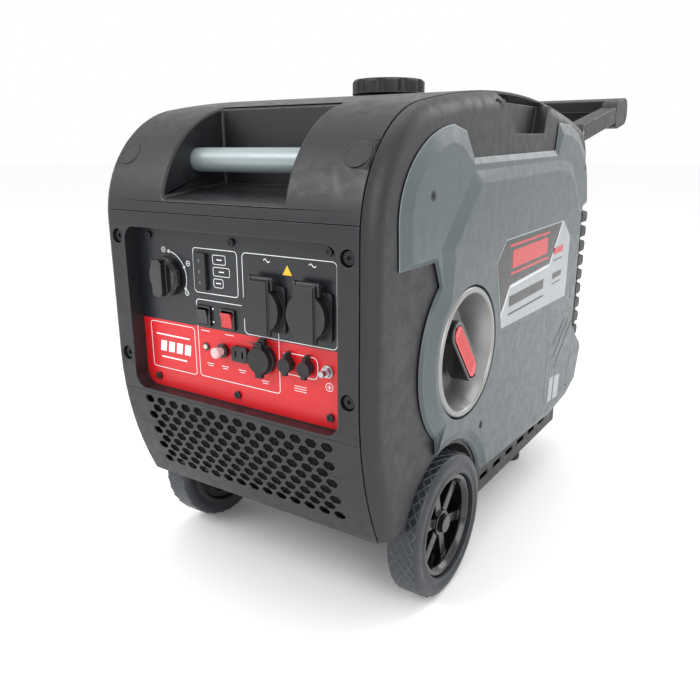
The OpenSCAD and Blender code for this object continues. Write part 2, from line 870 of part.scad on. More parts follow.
module rocker_economy() placed() rocker(rocker_x[0], "#111214");
module rocker_start() placed() rocker(rocker_x[1], "#c62127");

module breaker_body() placed() color("#101113")
    facing(breaker_x, panel_depth - seat_gap, low_row_z)
        difference() {
            union() {
                cylinder(r = 7.6, h = 5);
                translate([0, 0, -18])
                    cylinder(r = 5.2, h = 19);
            }
            translate([0, 0, -12])
                cylinder(r = 4.2, h = 30);
        }

button_travel = 4;

module reset_button() placed() color("#e3b9b9")
    facing(breaker_x, panel_depth - seat_gap, low_row_z) {
        translate([0, 0, -6])
            cylinder(r = 4.2 - run_fit, h = 16);
        translate([0, 0, 5 + button_travel + move_gap])
            cylinder(r = 5.6, h = 5);
        translate([0, 0, 5 + button_travel + move_gap + 4.99])
            cylinder(r1 = 5.6, r2 = 4.4, h = 1.4);
    }

module dc_socket() placed() color("#141518")
    facing(dc_x, panel_depth - seat_gap, low_row_z)
        difference() {
            linear_extrude(5)
                rrect(21, 16.5, 3);
            for (s = [-1, 1])
                translate([s*4.6 - 1.1, -3.6, 1])
                    cube([2.2, 7.2, 6]);
        }

module charger_socket() placed() color("#15171a")
    facing(charger_x, panel_depth - seat_gap, low_row_z)
        difference() {
            union() {
                cylinder(r = 15.5, h = 6);
                translate([0, 0, -26])
                    cylinder(r = 12, h = 27);
                // Anchor of the flap's strap
                translate([-4, 13, 0])
                    cube([8, charger_reach - 9, 6]);
            }
            translate([0, 0, -20])
                cylinder(r = 10.5, h = 40);
        }

// A rubber cap on a strap: disc with a finger tab below and a strap up to its hinge
module strap_cap(x, face, r, t, reach) color("#151618")
    facing(x, face, low_row_z) {
        linear_extrude(t) {
            circle(r = r);
            translate([-r*0.32, -r - r*0.34])
                square([r*0.64, r]);
        }
        translate([0, 0, tiny])
            linear_extrude(t*0.7)
                translate([-r*0.28, 0])
                    square([r*0.56, reach]);
        translate([-r*0.28, reach, t*0.35])
            rotate([0, 90, 0])
                cylinder(r = t*0.35, h = r*0.56);
    }

charger_face = panel_depth - seat_gap - 6 - move_gap;
parallel_face = panel_depth - seat_gap - 5 - move_gap;
charger_reach = 17;
parallel_reach = 10;

module charger_flap() placed() strap_cap(charger_x, charger_face, 13.5, 5, charger_reach);
module parallel_cap_left() placed() strap_cap(parallel_x[0], parallel_face, 7.6, 5, parallel_reach);
module parallel_cap_right() placed() strap_cap(parallel_x[1], parallel_face, 7.6, 5, parallel_reach);

module parallel_sockets() placed() color("#17181b")
    for (x = parallel_x)
        facing(x, panel_depth - seat_gap, low_row_z)
            difference() {
                union() {
                    cylinder(r = 7, h = 5);
                    translate([-2, 5, 0])
                        cube([4, parallel_reach - 2, 5]);
                    translate([0, 0, -18])
                        cylinder(r = 5, h = 19);
                }
                translate([0, 0, -12])
                    cylinder(r = 3, h = 20);
            }

module ground_terminal() placed() color("#c9cbcd")
    facing(ground_x, panel_depth - seat_gap, low_row_z) {
        cylinder(r = 6.4, h = 1.4);
        cylinder(r = 5.4, h = 5.4, $fn = 6);
        translate([0, 0, -14])
            cylinder(r = 3, h = 26);
    }

// Mains socket with a cup, square flange and two hinge ears
module mains_socket(x) color("#121316")
    facing(x, panel_depth - seat_gap, socket_z)
        difference() {
            union() {
                linear_extrude(3)
                    rrect(flange, flange, 4);
                cylinder(r = socket_r + 2, h = 9.3);
                translate([0, 0, -16])
                    cylinder(r = socket_r + 2.2, h = 17);
                for (s = [-1, 1])
                    translate([s*13.6 - 1.4, ear_low, 0])
                        rotate([90, 0, 90])
                            linear_extrude(2.8) {
                                square([lid_pivot[1] - ear_low, 11]);
                                translate([lid_pivot[1] - ear_low, panel_depth - seat_gap - lid_pivot[0]])
                                    circle(r = 3.4);
                            }
            }
            translate([0, 0, -8])
                cylinder(r = socket_r, h = 30);
            for (s = [-1, 1])
                translate([s*9.5, 0, -14])
                    cylinder(r = 2.4, h = 10);
            translate([-20, lid_pivot[1], panel_depth - seat_gap - lid_pivot[0]])
                rotate([0, 90, 0])
                    cylinder(r = 1.5 + run_fit, h = 40);
        }

module mains_socket_left() placed() mains_socket(socket_x[0]);
module mains_socket_right() placed() mains_socket(socket_x[1]);

// Spring lid: round cover with a raised centre band, hung from its own pin
module socket_lid(x) color("#15161a")
    facing(x, panel_depth - seat_gap - 9.3 - move_gap, socket_z) {
        linear_extrude(lid_t)
            difference() {
                union() {
                    circle(r = socket_r + 3);
                    translate([-12.5, -socket_r - 6])
                        square([25, socket_r + 18]);
                    translate([-11.6, 0])
                        square([23.2, lid_pivot[1]]);
                }
            }
        translate([0, 0, lid_t - tiny])
            linear_extrude(2.2)
                translate([-10.5, -socket_r - 5])
                    square([21, lid_pivot[1] + socket_r + 4]);
        translate([0, lid_pivot[1], panel_depth - seat_gap - 9.3 - move_gap - lid_pivot[0]])
            rotate([0, 90, 0]) {
                translate([0, 0, -11.6])
                    cylinder(r = 3.2, h = 23.2);
                translate([0, 0, -14.8])
                    cylinder(r = 1.5, h = 29.6);
            }
    }

module socket_lid_left() placed() socket_lid(socket_x[0]);
module socket_lid_right() placed() socket_lid(socket_x[1]);

// ---- Recoil starter ----

dish_out = half_w + cover_high;
dish_in = dish_out - dish_depth;
grip_a = -50;
grip_w = 29;
grip_t = 24;

module recoil_dish() placed() color("#b9bab7")
    translate([dish_in - wall, ring_c[0], ring_c[1]])
        rotate([0, 90, 0])
            rotate_extrude($fn = 160)
                polygon([[6, 0], [dish_r - 17, 0], [dish_r - 3, dish_depth - 5],
                    [dish_r, dish_depth - 5], [dish_r, dish_depth + 1], [dish_r - 2, dish_depth + wall],
                    [dish_r - 6, dish_depth + wall], [dish_r - 8, dish_depth + 1],
                    [dish_r - 20, wall], [6, wall]]);

module at_grip(x) translate([x, ring_c[0], ring_c[1]]) from_side() rotate(grip_a) children();

module pull_grip() placed() color("#141416") {
    at_grip(dish_out - grip_t - 4)
        difference() {
            linear_extrude(grip_t)
                rrect(grip_len, grip_w, grip_w/2 - tiny);
            translate([0, 0, grip_t - 3])
                linear_extrude(4)
                    rrect(grip_len - 12, grip_w - 9, (grip_w - 9)/2 - tiny);
        }
    rod_x(ring_c, 5, dish_in - wall - 12, dish_out - grip_t - 3);
}

module grip_insert() placed() color("#e8322c")
    at_grip(dish_out - 4 - 3 + seat_gap)
        linear_extrude(3.4)
            rrect(grip_len - 12.6, grip_w - 9.6, (grip_w - 9.6)/2 - tiny);

pulley_in = dish_in - wall - 46;

module rope_pulley() placed() color("#d7d2c2")
    translate([pulley_in, crank_c[0], crank_c[1]])
        rotate([0, 90, 0])
            rotate_extrude($fn = 96)
                polygon([[8, 0], [52, 0], [52, 3], [40, 5], [40, 13], [52, 15], [52, 18], [8, 18]]);

// ---- Fuel ----

tank_w = 232;
tank_y = 128;
tank_len = 300;
tank_low = body_top - 128;
tank_high = body_top - 24;

module tank_block(d)
    translate([-tank_w/2 + d, tank_y + d, tank_low + d])
        cube([tank_w - 2*d, tank_len - 2*d, tank_high - tank_low - 2*d]);

module fuel_tank() placed() color("#3b3d42")
    difference() {
        union() {
            tank_block(0);
            translate([0, cap_y, tank_high - 1])
                cylinder(r = neck_d/2 + wall, h = neck_top - tank_high + 1);
        }
        tank_block(wall);
        translate([0, cap_y, tank_high - 10])
            cylinder(r = neck_d/2, h = 60);
    }

lobes = 10;

module fuel_cap() placed() color("#17181b")
    translate([0, cap_y, neck_top + move_gap + 1.6])
        difference() {
            union() {
                cylinder(r = cap_d/2, h = 15);
                translate([0, 0, 15])
                    cylinder(r1 = cap_d/2, r2 = cap_d/2 - 3, h = 3);
            }
            for (i = [0:lobes - 1])
                rotate(i*360/lobes)
                    translate([cap_d/2 + 5, 0, 2])
                        cylinder(r = 9, h = 30);
            translate([0, 0, -1])
                cylinder(r = neck_d/2 + 0.5, h = 9);
        }

module cap_insert() placed() color("#2a2c30")
    translate([0, cap_y, neck_top - 12])
        difference() {
            union() {
                cylinder(r = neck_d/2 - move_gap, h = 12 + move_gap + tiny);
                translate([0, 0, 12 + move_gap])
                    cylinder(r = neck_d/2, h = 8);
            }
            translate([0, 0, -1])
                cylinder(r = neck_d/2 - 4, h = 15);
        }

// ---- Engine and inverter ----

module engine_block() placed() color("#9b9ea0") {
    difference() {
        union() {
            rod_x(crank_c, 62, -58, 30);
            // Finned cylinder leaning back over the crankcase
            translate([-14, crank_c[0] + 20, crank_c[1] - 30])
                rotate([-64, 0, 0]) {
                    cylinder(r = 34, h = 142);
                    for (i = [0:6])
                        translate([-46, -46, 58 + i*11])
                            cube([92, 92, 4]);
                    translate([-42, -42, 136])
                        cube([84, 84, 22]);
                }
            translate([-58, crank_c[0] - 55, body_floor + 4])
                cube([88, 110, 112]);
        }
        rod_x(crank_c, 15 + run_fit, -80, 60);
        rod_x(crank_c, 50, -44, 16);
    }
}

module crankshaft() placed() color("#b4b6b8") {
    rod_x(crank_c, 15, -70, 38);
    rod_x(crank_c, 11, 38 - tiny, pulley_in - 4);
    rod_x(crank_c, 46, -26, -16);
    rod_x(crank_c, 46, -4, 6);
}

module alternator_rotor() placed() color("#7c8084")
    difference() {
        rod_x(crank_c, 84, 44, pulley_in - 6);
        rod_x(crank_c, 78, 40, pulley_in - 12);
        rod_x(crank_c, 11 + seat_gap, 30, pulley_in);
        for (i = [0:7])
            translate([0, crank_c[0], crank_c[1]])
                rotate([i*45, 0, 0])
                    translate([pulley_in - 20, 0, 50])
                        rotate([0, 90, 0])
                            cylinder(r = 9, h = 30);
    }

module alternator_stator() placed() color("#b0623a")
    difference() {
        union() {
            rod_x(crank_c, 40, 31, pulley_in - 16);
            for (i = [0:11])
                translate([48, crank_c[0], crank_c[1]])
                    rotate([i*30, 0, 0])
                        translate([0, -7, 36])
                            cube([pulley_in - 70, 14, 36]);
        }
        rod_x(crank_c, 16, 20, pulley_in);
    }

module muffler() placed() color("#77797b") {
    translate([outlet_c[0] - 40, body_len - 150, outlet_c[1] - 50])
        cube([150, 90, 110]);
    translate([outlet_c[0], body_len - 61, outlet_c[1]])
        rotate([-90, 0, 0])
            difference() {
                cylinder(r = 16, h = 36);
                translate([0, 0, 10])
                    cylinder(r = 13, h = 40);
            }
}

module inverter_module() placed() color("#a7abad") {
    translate([-110, 60, body_floor + 10])
        cube([50, 60, 100]);
    for (i = [0:6])
        translate([-110 + i*7.6, 60 - 14, body_floor + 10])
            cube([3, 15, 100]);
}

module air_cleaner() placed() color("#25272a")
    translate([-half_w + 40, body_len - 300, 300])
        difference() {
            cube([70, 130, 90]);
            translate([35, -1, 45])
                rotate([-90, 0, 0])
                    cylinder(r = 18, h = 20);
        }

front_bezel();
vent_grille();
top_cover();
side_shell_right();
side_shell_left();
side_cover_right();
side_cover_left();
rear_cover();
base_pan();
carry_handle_bar();
shoulder_plugs();
rear_feet();
bezel_bolts();
cover_screws();
panel_screws();
tyre_right();
wheel_hub_right();
tyre_left();
wheel_hub_left();
wheel_axle();
axle_caps();
trolley_arms();
trolley_grip();
handle_brackets();
pivot_pins();
control_panel();
engine_switch_knob();
engine_switch_body();
indicator_strip();
indicator_lenses();
rocker_housings();
rocker_economy();
rocker_start();
breaker_body();
reset_button();
dc_socket();
charger_socket();
charger_flap();
parallel_sockets();
parallel_cap_left();
parallel_cap_right();
ground_terminal();
mains_socket_left();
mains_socket_right();
socket_lid_left();
socket_lid_right();
recoil_dish();
pull_grip();
grip_insert();
rope_pulley();
fuel_tank();
fuel_cap();
cap_insert();
engine_block();
crankshaft();
alternator_rotor();
alternator_stator();
muffler();
inverter_module();
air_cleaner();
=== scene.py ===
import json
import math

import bmesh
import bpy
from mathutils import Matrix, Vector


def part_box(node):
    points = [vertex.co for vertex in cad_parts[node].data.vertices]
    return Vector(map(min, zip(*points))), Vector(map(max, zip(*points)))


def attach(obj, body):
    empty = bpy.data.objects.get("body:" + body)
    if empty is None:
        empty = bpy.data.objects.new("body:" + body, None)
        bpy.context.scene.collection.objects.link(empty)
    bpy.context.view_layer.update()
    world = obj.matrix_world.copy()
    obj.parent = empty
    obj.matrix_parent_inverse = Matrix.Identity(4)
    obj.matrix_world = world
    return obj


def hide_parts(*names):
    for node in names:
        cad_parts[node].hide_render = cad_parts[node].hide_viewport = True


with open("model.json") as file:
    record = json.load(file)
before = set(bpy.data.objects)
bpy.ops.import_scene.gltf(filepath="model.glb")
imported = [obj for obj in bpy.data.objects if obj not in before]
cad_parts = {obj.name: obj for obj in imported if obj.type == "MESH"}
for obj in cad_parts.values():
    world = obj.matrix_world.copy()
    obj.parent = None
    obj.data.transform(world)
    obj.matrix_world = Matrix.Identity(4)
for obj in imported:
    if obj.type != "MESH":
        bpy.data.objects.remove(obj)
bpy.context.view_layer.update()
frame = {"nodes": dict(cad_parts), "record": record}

# ---- Moulded shells ----
# Bezel, top cover, the two side shells, rear cover and base tray: injection moulded ABS and
# polypropylene with a fine spark-eroded grain, screwed together along the seams at the long edges.


def colour(text):
    """sRGB hex to a linear colour."""
    parts = [int(text[i:i + 2], 16) / 255 for i in (1, 3, 5)]
    return [p / 12.92 if p <= 0.04045 else ((p + 0.055) / 1.055) ** 2.4 for p in parts] + [1]


def add(tree, kind, sockets=None, **settings):
    """A node in the tree, with its settings, and its sockets linked or filled in."""
    made = tree.nodes.new(kind)
    for key, value in settings.items():
        setattr(made, key, value)
    for key, value in (sockets or {}).items():
        socket = made.inputs[key]
        if isinstance(value, bpy.types.NodeSocket):
            tree.links.new(value, socket)
        else:
            socket.default_value = value
    return made


def moulding(name, dark, light, grain_mm, depth_mm, rough, spread=0.08, edge_light_and_wear=None, metallic=0.0,
             stretch=(1, 1, 1), coat=0.0, ior=1.5, subsurface=0.0):
    """A surface with a clouded colour, a grain of grain_mm, and edges lightened: painted edge highlight and
    wear.
    """
    mat = bpy.data.materials.new(name)
    mat.use_nodes = True
    tree = mat.node_tree
    tree.nodes.clear()
    place = add(tree, "ShaderNodeTexCoord").outputs["Object"]
    drawn = add(tree, "ShaderNodeMapping", {"Vector": place, "Scale": stretch}).outputs["Vector"]
    cloud = add(tree, "ShaderNodeTexNoise", {"Vector": place, "Scale": 17.0, "Detail": 4.0, "Roughness": 0.6})
    grain = add(tree, "ShaderNodeTexNoise", {"Vector": drawn, "Scale": 500 / grain_mm, "Detail": 2.0})
    smear = add(tree, "ShaderNodeTexNoise",
                {"Vector": place, "Scale": 70.0, "Detail": 3.0, "Distortion": 0.8})
    tint = add(tree, "ShaderNodeMix", {0: cloud.outputs["Fac"], 6: colour(dark), 7: colour(light)},
               data_type="RGBA")
    base = tint.outputs[2]
    # Edges turn towards a lighter colour in patches: a painted edge highlight, partly standing for rubbed
    # wear.
    if edge_light_and_wear:
        bent = add(tree, "ShaderNodeBevel", {"Radius": 0.0016}, samples=4).outputs["Normal"]
        flat = add(tree, "ShaderNodeNewGeometry").outputs["Normal"]
        turn = add(tree, "ShaderNodeVectorMath", {0: bent, 1: flat}, operation="DOT_PRODUCT").outputs["Value"]
        edge = add(tree, "ShaderNodeMapRange",
                   {"Value": turn, "From Min": 0.985, "From Max": 0.9, "To Max": 0.55})
        edge_light_mask = add(tree, "ShaderNodeMath", {0: edge.outputs[0], 1: smear.outputs["Fac"]},
                     operation="MULTIPLY")
        base = add(tree, "ShaderNodeMix", {0: edge_light_mask.outputs[0], 6: base, 7: colour(edge_light_and_wear)},
                   data_type="RGBA").outputs[2]
    shine = add(tree, "ShaderNodeMapRange", {"Value": smear.outputs["Fac"], "From Min": 0.3, "From Max": 0.7,
                                             "To Min": rough - spread, "To Max": rough + spread})
    bump = add(tree, "ShaderNodeBump",
               {"Height": grain.outputs["Fac"], "Strength": 0.6, "Distance": depth_mm / 1000})
    shader = add(tree, "ShaderNodeBsdfPrincipled", {
        "Base Color": base, "Roughness": shine.outputs[0], "Normal": bump.outputs["Normal"],
        "Metallic": metallic, "Coat Weight": coat, "Coat Roughness": 0.12, "IOR": ior,
        "Subsurface Weight": subsurface, "Subsurface Scale": 0.002})
    add(tree, "ShaderNodeOutputMaterial", {"Surface": shader.outputs[0]})
    return mat


# The grain is drawn near a millimetre and a half, coarser than the real tenths, so that it shows
# The lighter edge colours on these shells are painted edge highlights together with rubbed wear.
ABS = moulding("charcoal spark-grained ABS", "#131417", "#18191d", 1.5, 0.06, 0.45, edge_light_and_wear="#565b60")
POLYPROPYLENE = moulding("black moulded polypropylene", "#0d0e10", "#141518", 1.8, 0.10, 0.5, edge_light_and_wear="#3a3d41")

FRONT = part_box("front_bezel")[0].y
BODY_OF = {node: body for body, nodes in frame["record"]["behaviour"]["bodies"].items() for node in nodes}


def at_mm(place):
    """Metres in the row frame to millimetres from the front face's middle at the floor."""
    return Vector((place.x, place.y - FRONT, place.z)) * 1000


def solid(name, mesh, material, body):
    """A mesh as a piece that rides on a body."""
    piece = bpy.data.objects.new(name, mesh)
    bpy.context.scene.collection.objects.link(piece)
    mesh.materials.clear()
    mesh.materials.append(material)
    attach(piece, body)
    return piece


def baked(piece):
    """The piece with its modifiers worked into a plain mesh."""
    bpy.context.view_layer.update()
    done = bpy.data.meshes.new_from_object(piece.evaluated_get(bpy.context.evaluated_depsgraph_get()))
    piece.modifiers.clear()
    piece.data = done
    return piece


def eased(piece, width_mm, segments=2, corner=33, limit="ANGLE"):
    """Rounds the piece's corners and evens its shading, so that flat faces stay flat."""
    for polygon in piece.data.polygons:
        polygon.use_smooth = True
    if width_mm:
        soft = piece.modifiers.new("soft edges", "BEVEL")
        soft.width = width_mm / 1000
        soft.segments = segments
        soft.limit_method = limit
        soft.angle_limit = math.radians(corner)
        soft.use_clamp_overlap = False
        soft.miter_outer = "MITER_ARC"
    even = piece.modifiers.new("even shading", "WEIGHTED_NORMAL")
    even.weight = 80
    even.keep_sharp = True
    return baked(piece)


def finished(node, material, width_mm, segments=2, corner=33, broad=None, broad_mm=1.0, joined=True):
    """A welded copy of a CAD node with its moulded edges, which stands for it. broad(x, y, z), in millimetres
    from the front face, gives an edge its own width of at most broad_mm."""
    work = bmesh.new()
    work.from_mesh(frame["nodes"][node].data)
    bmesh.ops.remove_doubles(work, verts=work.verts, dist=2e-6)
    if joined:
        bmesh.ops.dissolve_limit(work, angle_limit=math.radians(0.5), verts=work.verts, edges=work.edges)
    if broad:
        weight = work.edges.layers.float.new("bevel_weight_edge")
        for edge in work.edges:
            if len(edge.link_faces) == 2 and edge.calc_face_angle(0) > math.radians(corner):
                edge[weight] = broad(*at_mm((edge.verts[0].co + edge.verts[1].co) / 2)) / broad_mm
    mesh = bpy.data.meshes.new(node + "_made")
    work.to_mesh(mesh)
    work.free()
    piece = bpy.data.objects.new(node + "_made", mesh)
    bpy.context.scene.collection.objects.link(piece)
    mesh.materials.clear()
    mesh.materials.append(material)
    eased(piece, broad_mm if broad else width_mm, segments, corner, "WEIGHT" if broad else "ANGLE")
    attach(piece, BODY_OF[node])
    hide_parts(node)
    return piece


def cover_edge(x, y, z):
    """How far the top cover's edge is rounded: most at the hand pocket's mouth, not at all at the plugs."""
    low, high = (at_mm(corner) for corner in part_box("shoulder_plugs"))
    if abs(x) > 110 and low.y - 3 < y < high.y + 3 and low.z - 3 < z < high.z + 3:
        return 0
    mouth = abs(x) < 80 and y < 110 and z > 440 and abs(math.hypot(y - 120, z - 418) - 120) < 6
    return 3.5 if mouth or abs(abs(x) - 77) < 3 else 0.6


finished("front_bezel", ABS, 0.3, joined=False)
finished("vent_grille", ABS, 0.5, joined=False)
finished("top_cover", ABS, 0.6, 3, 33, cover_edge, 3.5)
finished("side_shell_right", ABS, 1.0)
finished("side_shell_left", ABS, 1.0)
finished("rear_cover", ABS, 0.8)
finished("base_pan", POLYPROPYLENE, 0.8)

# ---- Vent shade sheet ----
# A near-black sheet held behind the honeycomb: painted shade that darkens the inside of the vents and
# hides the inverter from view, a plain curved sheet with a coarse pitted surface.

VENT_SHADE = moulding("near-black painted vent shade", "#050506", "#0b0b0c", 2.4, 0.6, 0.85)
FRONT_CURVE = (364, 270)
SHADE_SHEET_RADII = (353, 351)
SHADE_SHEET_SPAN = 140


def shade_sheet_mesh():
    """A curved sheet that follows the front's curve, set back behind the honeycomb."""
    work = bmesh.new()
    steps = 9
    turns = [math.radians(186 + i * 2) for i in range(steps + 1)]
    rows = [[work.verts.new((x / 1000, FRONT + (FRONT_CURVE[0] + r * math.cos(t)) / 1000,
                             (FRONT_CURVE[1] + r * math.sin(t)) / 1000))
             for x in (-SHADE_SHEET_SPAN, SHADE_SHEET_SPAN)] for r in SHADE_SHEET_RADII for t in turns]
    back = steps + 1
    for k in range(steps):
        for lap in (0, back):
            work.faces.new((*rows[lap + k], *reversed(rows[lap + k + 1])))
        for end in (0, 1):
            work.faces.new((rows[k][end], rows[k + 1][end], rows[back + k + 1][end], rows[back + k][end]))
    for k in (0, steps):
        work.faces.new((*rows[k], *reversed(rows[back + k])))
    bmesh.ops.recalc_face_normals(work, faces=work.faces)
    mesh = bpy.data.meshes.new("painted_vent_shade")
    work.to_mesh(mesh)
    work.free()
    return mesh


# Painted shade: the near-black sheet darkens the inside of the vents.
solid("painted_vent_shade", shade_sheet_mesh(), VENT_SHADE, "housing")

# ---- Side covers ----
# Grey satin-painted ABS mouldings screwed onto the side shells: a low band with a horn at the
# front, a raised field with a sloped border, and a round opening for the starter's dish.

# The pale edge colour on the grey covers is a painted edge highlight together with rubbed wear.
PAINT = moulding("grey satin-painted ABS", "#40494c", "#454f52", 1.2, 0.02, 0.42, edge_light_and_wear="#98a3a7", coat=0.15)
COVER_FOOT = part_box("side_cover_right")[0].x * 1000
COVER_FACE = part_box("side_cover_right")[1].x * 1000
COVER_STEP = COVER_FOOT + 4
AXLE = (154, 83)
RING = (189, 278)


def at(x, y, z):
    """Millimetres from the front face's middle at the floor to metres in the row frame."""
    return Vector((x / 1000, FRONT + y / 1000, z / 1000))


def arc(centre, r, a0, a1, n):
    """n + 1 points round an arc, or round an oval where r is a pair."""
    ry, rz = r if isinstance(r, tuple) else (r, r)
    turns = [math.radians(a0 + (a1 - a0) * i / n) for i in range(n + 1)]
    return [(centre[0] + ry * math.cos(t), centre[1] + rz * math.sin(t)) for t in turns]


def straight(p, q, n):
    return [(p[0] + (q[0] - p[0]) * i / n, p[1] + (q[1] - p[1]) * i / n) for i in range(n + 1)]


def tail(d):
    return [(659 - d, 182 - d / 4), (641 - d, 122 + d / 2), (601 - d / 2, 104 + d), (515, 96 + d)]


def arch(d):
    return arc(AXLE, 92 + d, 18, 106, 26)


COVER_LINES = [
    (COVER_FOOT, [(42, 386)] + arc((157, 430), (117, 87), 180, 96, 27)
     + [(174, 511), (196, 485), (459, 492), (466, 527), (513, 526), (560, 515), (600, 490), (624, 456),
        (637, 412), (604, 406), (604, 214)]
     + tail(0) + arch(4) + arc(RING, 105, 232, 128, 30) + [(112, 386)]),
    (COVER_STEP, [(60, 392)] + arc((157, 430), (98, 70), 176, 100, 27)
     + [(158, 496), (190, 478), (462, 484), (478, 512), (511, 511), (552, 501), (588, 480), (609, 452),
        (622, 418), (601, 412), (601, 218)]
     + tail(3) + arch(7) + arc(RING, 102, 232, 128, 30) + [(112, 392)]),
    (COVER_STEP, [(118, 398)] + straight((120, 400), (186, 468), 27)
     + [(189, 471), (195, 472), (464, 479), (486, 478), (502, 477), (518, 475), (532, 470), (558, 444),
        (582, 416), (597, 400), (597, 223)]
     + tail(5) + arch(9) + arc(RING, 100, 232, 128, 30) + [(122, 389)]),
    (COVER_FACE, [(140, 394)] + straight((141, 396), (202, 455), 27)
     + [(205, 457), (210, 458), (467, 465), (484, 464), (499, 463), (512, 461), (523, 456), (546, 432),
        (570, 405), (585, 391), (585, 228)]
     + tail(14) + arch(18) + arc(RING, 82, 232, 128, 30) + [(144, 386)]),
]
COVER_SCREWS = [(98, 451), (598, 466), (233, 178)]


def bore(target, x0, x1, centre, r, steps):
    """Cuts a round hole along X into a piece."""
    work = bmesh.new()
    turn = Matrix.Translation(at((x0 + x1) / 2, *centre)) @ Matrix.Rotation(math.pi / 2, 4, "Y")
    bmesh.ops.create_cone(work, cap_ends=True, segments=steps, radius1=r / 1000, radius2=r / 1000,
                          depth=abs(x1 - x0) / 1000, matrix=turn)
    mesh = bpy.data.meshes.new("cutter")
    work.to_mesh(mesh)
    work.free()
    cutter = bpy.data.objects.new("cutter", mesh)
    bpy.context.scene.collection.objects.link(cutter)
    cut = target.modifiers.new("bore", "BOOLEAN")
    cut.object = cutter
    cut.solver = "EXACT"
    baked(target)
    bpy.data.objects.remove(cutter)


def side_cover(side, node):
    work = bmesh.new()
    rings = [[work.verts.new(at(side * x, y, z)) for y, z in line] for x, line in COVER_LINES]
    count = len(rings[0])
    for low, high in zip(rings, rings[1:]):
        for i in range(count):
            work.faces.new((low[i], low[(i + 1) % count], high[(i + 1) % count], high[i]))
    work.faces.new(rings[0])
    work.faces.new(rings[-1])
    bmesh.ops.recalc_face_normals(work, faces=work.faces)
    mesh = bpy.data.meshes.new(node + "_made")
    work.to_mesh(mesh)
    work.free()
    mesh.materials.append(PAINT)
    piece = bpy.data.objects.new(node + "_made", mesh)
    bpy.context.scene.collection.objects.link(piece)
    deep = COVER_FOOT - 5 if side > 0 else COVER_FACE - 1.5
    bore(piece, side * deep, side * (COVER_FACE + 10), RING, 75, 128)
    eased(piece, 0.9, 3, 10)
    for spot in COVER_SCREWS:
        bore(piece, side * (COVER_FOOT + 2), side * (COVER_FACE + 10), spot, 5.2, 32)
    eased(piece, 0)
    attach(piece, BODY_OF[node])
    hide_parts(node)


side_cover(1, "side_cover_right")
side_cover(-1, "side_cover_left")

# ---- Decals on the side cover ----
# A generic three-colour foil decal on the raised field, an inset access plate with its slot, and a
# blank silver rating plate: printed polyester film a few tenths of a millimetre thick.

FOIL_BLACK = moulding("black printed film", "#131316", "#1a1a1d", 3.0, 0.01, 0.3, 0.04)
FOIL_RED = moulding("red printed film", "#b01c22", "#b92025", 3.0, 0.01, 0.3, 0.04)
FOIL_SILVER = moulding("silver printed film", "#8d9193", "#999da0", 3.0, 0.01, 0.32, 0.05)
FOIL_WHITE = moulding("white printed film", "#bfc2c3", "#cacccd", 3.0, 0.01, 0.35, 0.04)


def plates(name, shapes, lay, lift_mm, thick_mm, material, body):
    """Thin flat shapes, each an outline that lay() puts in place, joined into one piece."""
    work = bmesh.new()
    for outline in shapes:
        under = [work.verts.new(lay(u, v, lift_mm)) for u, v in outline]
        over = [work.verts.new(lay(u, v, lift_mm + thick_mm)) for u, v in outline]
        work.faces.new(under)
        work.faces.new(over)
        for i in range(len(outline)):
            j = (i + 1) % len(outline)
            work.faces.new((under[i], under[j], over[j], over[i]))
    bmesh.ops.recalc_face_normals(work, faces=work.faces)
    mesh = bpy.data.meshes.new(name)
    work.to_mesh(mesh)
    work.free()
    return solid(name, mesh, material, body)


def on_side(side):
    return lambda u, v, lift: at(side * (COVER_FACE + lift), u, v)


def bar(p, q, width):
    """A straight stroke as an outline."""
    along = Vector((q[0] - p[0], q[1] - p[1])).normalized() * width / 2
    return [(p[0] - along.y, p[1] + along.x), (q[0] - along.y, q[1] + along.x),
            (q[0] + along.y, q[1] - along.x), (p[0] + along.y, p[1] - along.x)]


